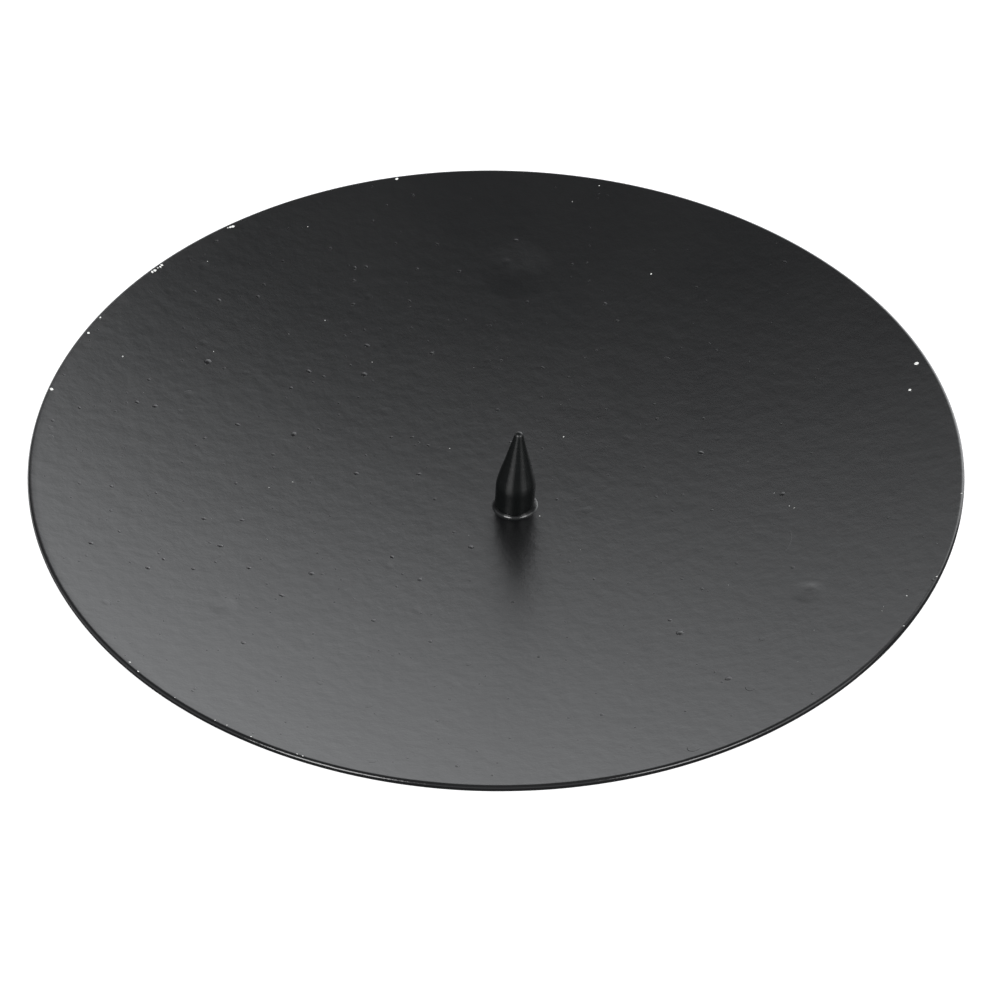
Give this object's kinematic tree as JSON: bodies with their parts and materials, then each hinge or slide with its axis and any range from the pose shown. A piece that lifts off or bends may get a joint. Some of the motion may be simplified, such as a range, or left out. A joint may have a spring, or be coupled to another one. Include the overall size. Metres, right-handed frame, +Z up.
{
  "type": "candle holder",
  "caption": "Shallow round dish of black painted sheet steel with a short pointed spike that holds a pillar candle upright, on small welded pegs.",
  "frame": {"origin": "on the surface that the pegs stand on, straight below the middle of the round rim", "axes": "+Z up through the middle of the rim; +X towards the side that the spike sits off to and leans to; +Y from the camera side of the picture to the back"},
  "size_m": [0.1398, 0.1398, 0.0196],
  "materials": {
    "dish_paint": "satin black paint with fine orange peel and a few dust nibs",
    "spike_paint": "semi-gloss black paint",
    "weld_paint": "semi-gloss black paint, pooled in the fillet"
  },
  "bodies": {
    "root": {"plate": "dish_paint", "spike": "spike_paint", "spike_weld": "weld_paint", "foot_1": "dish_paint", "foot_2": "dish_paint", "foot_3": "dish_paint", "foot_weld_1": "weld_paint", "foot_weld_2": "weld_paint", "foot_weld_3": "weld_paint"}
  },
  "joints": []
}
